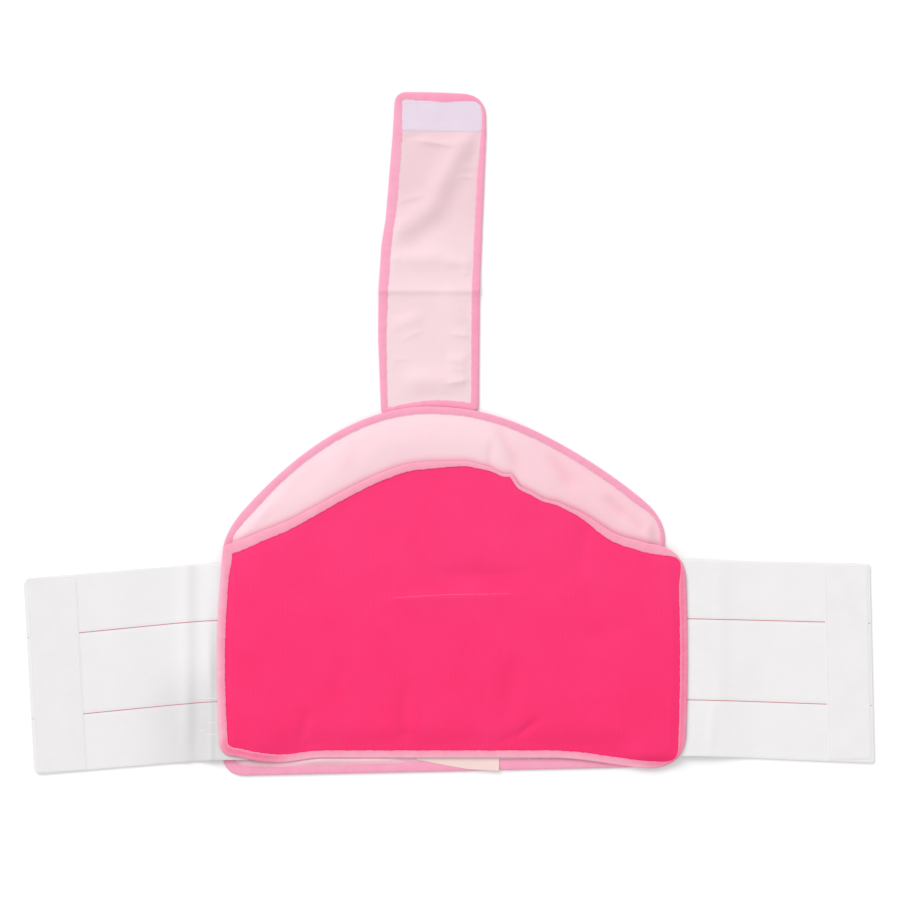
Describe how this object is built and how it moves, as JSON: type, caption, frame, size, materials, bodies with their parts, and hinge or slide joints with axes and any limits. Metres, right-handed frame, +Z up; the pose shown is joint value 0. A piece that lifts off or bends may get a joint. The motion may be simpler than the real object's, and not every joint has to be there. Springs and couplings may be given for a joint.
{
  "type": "postpartum belly band",
  "caption": "Belly support lying open: loop-faced front panel on an arched cotton panel, elastic side wings with hook ends, and a bound strap with a hook patch.",
  "frame": {"origin": "centre of the band's bounding box, on the surface that it lies on", "axes": "+X along the wings to the band's right as it lies, +Y along the strap to its free end, +Z up off the surface"},
  "size_m": [0.8498, 0.6835, 0.0104],
  "materials": {
    "cotton": "matte plain weave",
    "binding_tape": "soft folded tape",
    "front_tape": "soft folded tape",
    "loop_cloth": "brushed loop pile",
    "elastic": "ribbed woven elastic",
    "hook_tape": "fine moulded hooks",
    "label": "smooth woven tape"
  },
  "bodies": {
    "root": {"strap": "cotton", "strap_binding": "binding_tape", "strap_hook_patch": "hook_tape", "back_panel": "cotton", "back_binding": "binding_tape", "left_wing": "elastic", "right_wing": "elastic", "left_hook_patch": "hook_tape", "right_hook_patch": "hook_tape", "care_label": "label", "front_panel": "loop_cloth", "front_binding": "front_tape"}
  },
  "joints": []
}
